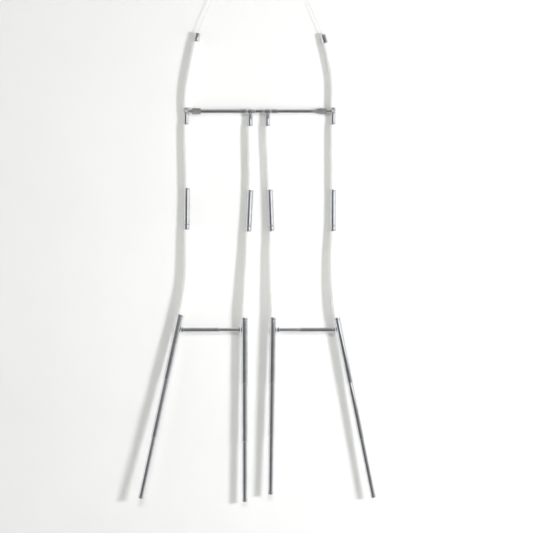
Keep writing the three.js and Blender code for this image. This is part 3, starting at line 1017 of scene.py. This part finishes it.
def add_brace(side):
    strand = f"{side}_outer"
    _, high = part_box(f"{strand}_end_fitting")
    start = Vector((stem_x(strand), 0, high.z - (SPIGOT - GAP) * MM))
    along = CAP_AXES[side]
    cap_low, cap_top = axis_ends(f"{side}_brace_cap", along)
    cap_face = cap_low + along * SPIGOT * MM
    end = cap_face - along * GAP * MM
    bends = [BAR + Vector(p) for p in BRACE_ROUTES[side]]
    route = [start, start + Z * HOSE_LEAD * MM, *bends, end - along * HOSE_LEAD * MM, end]
    hose = swept_hose(f"{side}_brace", route)
    finish_piece(hose, "crossbar", "hose", f"{side}_brace_hose")

    length = (cap_top - cap_low).length / MM
    cap = turned(f"{side}_brace_ferrule", [
        (0, 0), (SPIGOT_R, 0), (SPIGOT_R, SPIGOT), (CAP_R, SPIGOT), (CAP_R, SPIGOT + 2.4),
        (CAP_R - 0.45, SPIGOT + 2.9), (CAP_R, SPIGOT + 3.4), (CAP_R, length - 3.6),
        (CAP_R - 0.45, length - 3.1), (CAP_R, length - 2.6), (CAP_R, length - 1),
        (CAP_R - 1, length), (THREAD_HOLE_R + 0.4, length), (THREAD_HOLE_R, length - 0.6),
        (THREAD_HOLE_R, length - THREAD_HOLE), (0, length - THREAD_HOLE),
    ], cap_low, along)
    finish_piece(cap, "crossbar", "chrome", f"{side}_brace_cap")


add_bar()
for strand_name in STRANDS:
    if strand_name.endswith("outer"):
        add_end_fitting(strand_name)
    else:
        add_tee(strand_name)
    add_thigh_hose(strand_name)
    add_sleeve(strand_name)
    add_knee_hose(strand_name)
    add_shin(strand_name)
for side_name in SIDE_NAMES:
    add_rung(side_name)
    add_brace(side_name)


# ---- The studio, in metres -------------------------------------------------------------------
WALL_Y = 0.0115
WALL_HALF = 3.2
WALL_TOP = 2.4
FLOOR_Z = BAR.z - 1.13
FLOOR_HALF = 6
BACKDROP = (0.86, 0.86, 0.865, 1)  # what the camera sees past the wall and the floor
AMBIENT = (0.13, 0.13, 0.124, 1)  # the studio's light on surfaces, beside the lamps
COOL = (0.995, 0.995, 1.015)
WARM = (1.0, 1.0, 0.955)


def stage_plane(name, corners, material):
    data = bpy.data.meshes.new(name)
    data.from_pydata(corners, [], [(0, 1, 2, 3)])
    data.materials.append(material)
    obj = bpy.data.objects.new(name, data)
    bpy.context.scene.collection.objects.link(obj)
    return obj


def painted(name, low, high, grain, one_sided):
    material, tree, shader = new_material(name, Roughness=0.85, Specular_IOR_Level=0.15)
    mottle = noise(tree, 2.2, 3)
    tree.links.new(graded(tree, mottle, low, high), shader.inputs["Base Color"])
    bump(tree, shader, [(noise(tree, grain, 5), 0.06, 0.0006)])
    if one_sided:  # clear from behind, so that the back of the object shows
        facing = add_node(tree, "ShaderNodeNewGeometry").outputs["Backfacing"]
        clear = add_node(tree, "ShaderNodeBsdfTransparent")
        inputs = {0: facing, 1: shader.outputs[0], 2: clear.outputs[0]}
        mix = add_node(tree, "ShaderNodeMixShader", inputs)
        tree.links.new(mix.outputs[0], tree.nodes["Material Output"].inputs["Surface"])
    return material


def add_stage():
    wall = painted("wall_paint", (0.90, 0.90, 0.90), (0.93, 0.93, 0.93), 420, True)
    floor = painted("pale_floor", (0.84, 0.84, 0.83), (0.88, 0.88, 0.87), 260, False)
    stage_plane("wall", [
        (-WALL_HALF, WALL_Y, FLOOR_Z), (WALL_HALF, WALL_Y, FLOOR_Z),
        (WALL_HALF, WALL_Y, WALL_TOP), (-WALL_HALF, WALL_Y, WALL_TOP),
    ], wall)
    ground = stage_plane("floor", [
        (-FLOOR_HALF, -FLOOR_HALF, FLOOR_Z), (FLOOR_HALF, -FLOOR_HALF, FLOOR_Z),
        (FLOOR_HALF, FLOOR_HALF, FLOOR_Z), (-FLOOR_HALF, FLOOR_HALF, FLOOR_Z),
    ], floor)
    ground.visible_glossy = False


def add_light(name, place, target, size, energy, colour, mirrored=False):
    """A soft lamp that lights surfaces, or a card that shows in reflections only."""
    data = bpy.data.lights.new(name, "AREA")
    data.shape = "RECTANGLE"
    data.size, data.size_y = size
    data.energy = energy
    data.color = colour
    light = bpy.data.objects.new(name, data)
    light.location = place
    light.rotation_euler = (Vector(target) - Vector(place)).to_track_quat("-Z", "Y").to_euler()
    light.visible_glossy = mirrored
    light.visible_diffuse = not mirrored
    bpy.context.scene.collection.objects.link(light)


def ramp_over(tree, angle, stops):
    """Brightness by angle, from stops of (degrees, brightness)."""
    low, high = stops[0][0], stops[-1][0]
    share = add_node(
        tree, "ShaderNodeMapRange",
        {"Value": angle, "From Min": math.radians(low), "From Max": math.radians(high)},
    )
    ramp = add_node(tree, "ShaderNodeValToRGB", {"Fac": share.outputs["Result"]})
    elements = ramp.color_ramp.elements
    for (degrees, value), element in zip((stops[0], stops[-1]), elements):
        element.position = (degrees - low) / (high - low)
        element.color = (value, value, value, 1)
    for degrees, value in stops[1:-1]:
        element = elements.new((degrees - low) / (high - low))
        element.color = (value, value, value, 1)
    return ramp.outputs["Color"]


def add_world():
    """The room around: plain for surfaces and for the camera, and graded in reflections.

    In reflections it is bright at the sides and dark ahead of the wall. Angles there are counted
    from the wall's outward normal, sideways and upwards.
    """
    world = bpy.data.worlds.new("studio")
    world.use_nodes = True
    bpy.context.scene.world = world
    tree = world.node_tree
    background = tree.nodes["Background"]
    direction = add_node(tree, "ShaderNodeTexCoord").outputs["Generated"]
    parts = add_node(tree, "ShaderNodeSeparateXYZ", {0: direction}).outputs

    def computed(operation, *values):
        inputs = dict(enumerate(values))
        return add_node(tree, "ShaderNodeMath", inputs, operation=operation).outputs[0]

    forward = computed("MULTIPLY", parts["Y"], -1.0)
    sideways = ramp_over(tree, computed("ARCTAN2", parts["X"], forward), [
        (-180, 0.95), (-74, 0.95), (-57, 0.5), (-46, 0.2), (-30, 0.13), (-8, 0.13), (8, 0.16),
        (24, 0.3), (50, 0.42), (70, 0.62), (86, 0.95), (180, 0.95),
    ])
    upright = ramp_over(tree, computed("ARCSINE", parts["Z"]), [
        (-90, 0.75), (-70, 0.35), (-52, 0.16), (-35, 0.1), (-12, 0.08), (-3, 0.1), (5, 0.2),
        (16, 0.29), (32, 0.33), (50, 0.36), (70, 0.4), (90, 0.45),
    ])
    seen = add_node(
        tree, "ShaderNodeMix", {"Factor": 1.0, 6: sideways, 7: upright},
        data_type="RGBA", blend_type="LIGHTEN",
    ).outputs[2]
    rays = add_node(tree, "ShaderNodeLightPath").outputs
    shown = AMBIENT
    for ray, colour in (("Is Glossy Ray", seen), ("Is Camera Ray", BACKDROP)):
        inputs = {"Factor": rays[ray], 6: shown, 7: colour}
        shown = add_node(tree, "ShaderNodeMix", inputs, data_type="RGBA").outputs[2]
    tree.links.new(shown, background.inputs["Color"])
    background.inputs["Strength"].default_value = 1.0


def add_lights():
    """From each light's place, the point it is aimed at, its size in metres and its watts."""
    z = VIEW_CENTRE.z
    add_light("key", (2.3, -2.3, BAR.z - 0.35), (0, 0, z), (0.62, 0.42), 71, COOL)
    add_light("top", (0.1, -4.6, BAR.z + 1.5), (0, 0, z + 0.1), (1.3, 0.8), 61, WARM)
    add_light("left_fill", (-3.0, -1.9, z), (-0.3, 0, z), (1.6, 1.6), 11, WARM)
    card = (1.43, -2.05, BAR.z - 0.08)
    add_light("card", card, (0, 0, card[2]), (2.2, 0.66), 4.2, COOL, mirrored=True)


add_stage()
add_world()
add_lights()
scene = bpy.context.scene
scene.view_settings.view_transform = "Standard"
scene.view_settings.look = "None"
